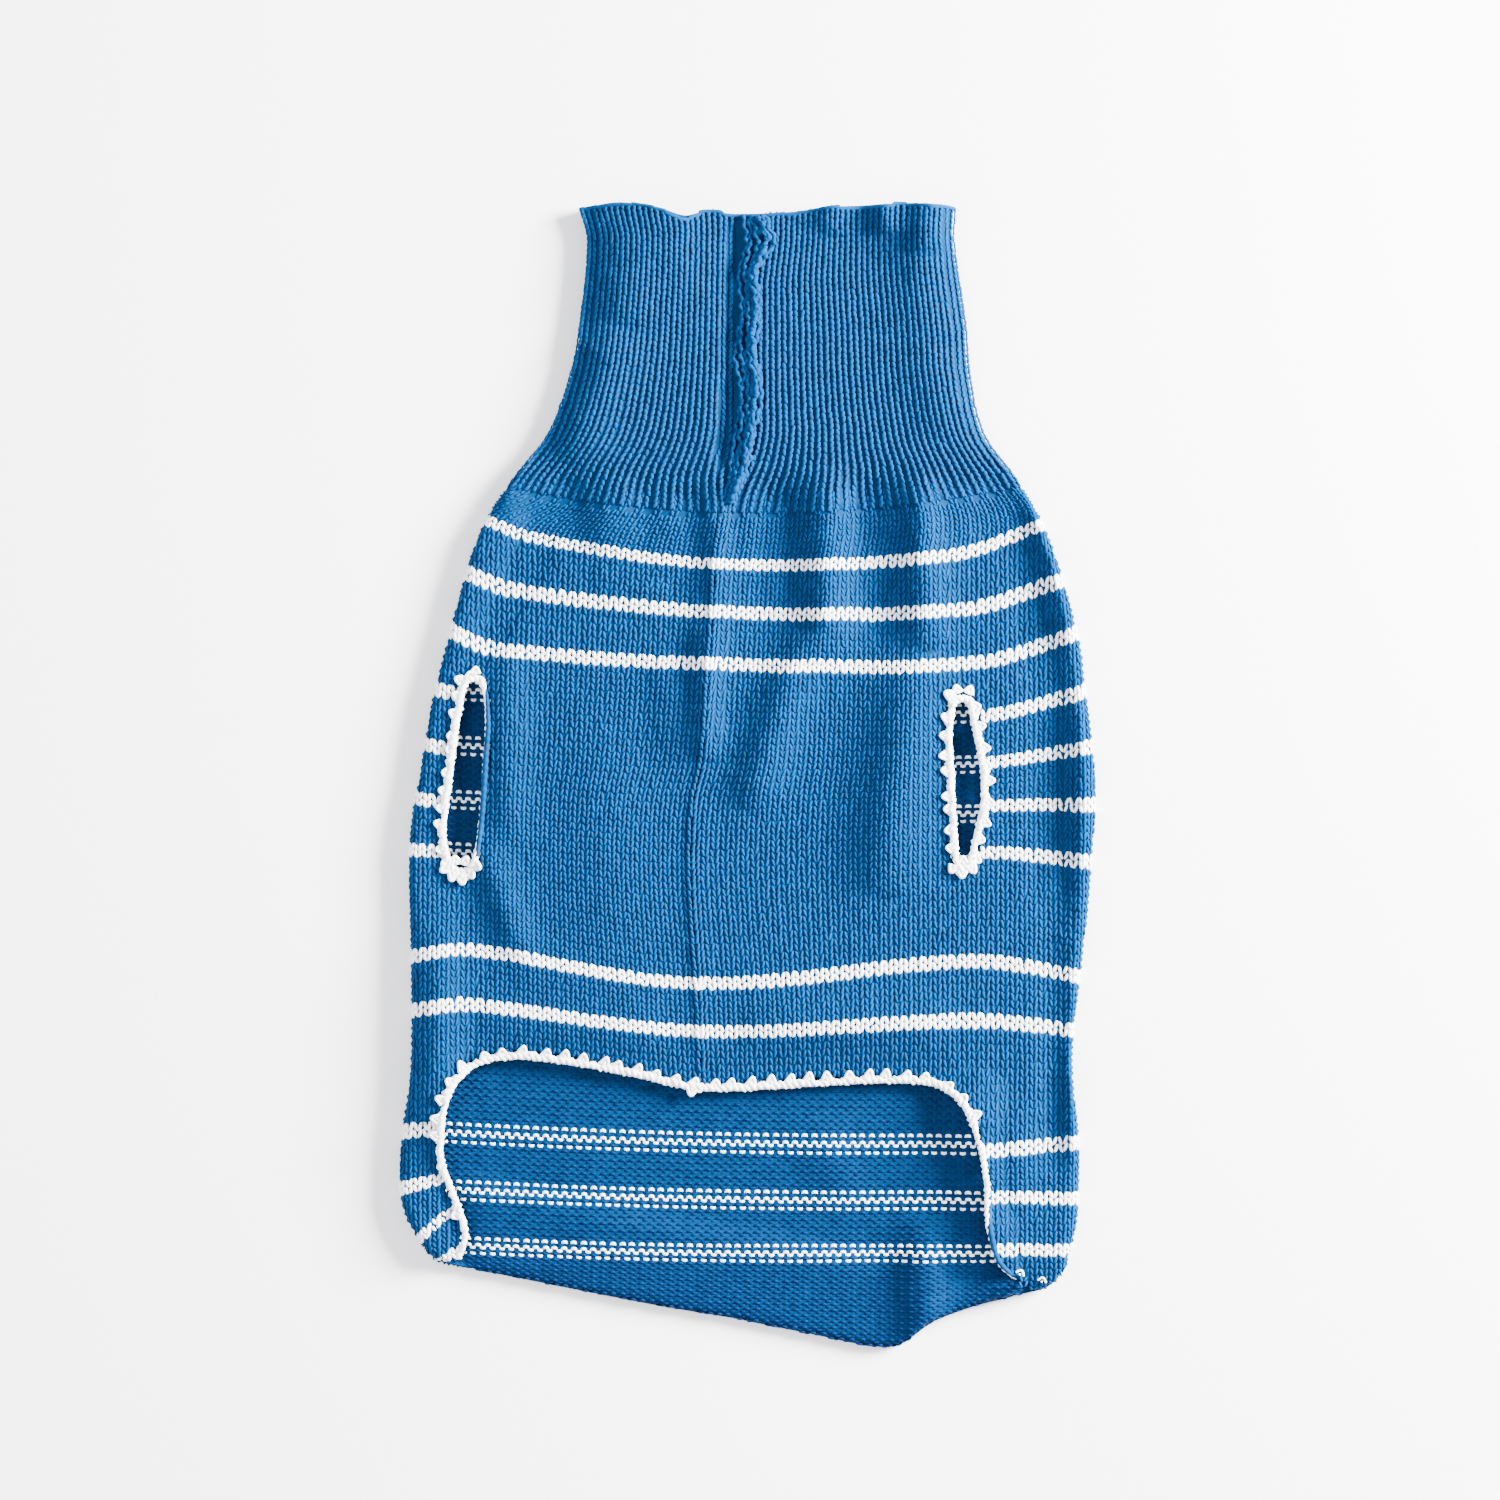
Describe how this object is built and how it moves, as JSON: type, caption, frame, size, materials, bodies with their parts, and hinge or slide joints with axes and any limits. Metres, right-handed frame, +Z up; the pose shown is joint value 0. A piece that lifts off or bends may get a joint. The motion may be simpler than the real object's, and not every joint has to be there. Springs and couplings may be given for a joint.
{
  "type": "dog sweater",
  "caption": "Knitted dog sweater laid flat, belly side up, with a ribbed turtleneck, striped body, leg holes and an arched belly hem with crochet picot edging.",
  "frame": {"origin": "middle of the flat underside, at the centre of the outline in X and Y, on the surface the sweater lies on", "axes": "+Y towards the neck, +X to the right with the belly side facing the viewer, +Z up out of the belly side"},
  "size_m": [0.2237, 0.3668, 0.0098],
  "materials": {
    "blue_yarn": "combed cotton yarn, stocking stitch and rib",
    "white_yarn": "combed cotton yarn, knitted stripes and crochet picots"
  },
  "bodies": {
    "root": {"collar": "blue_yarn", "back_panel": "blue_yarn", "belly_left": "blue_yarn", "belly_right": "blue_yarn", "belly_seam": "blue_yarn", "collar_seam": "blue_yarn", "leg_edging_left": "white_yarn", "leg_edging_right": "white_yarn", "hem_edging": "white_yarn", "hem_edging_back": "white_yarn"}
  },
  "joints": []
}
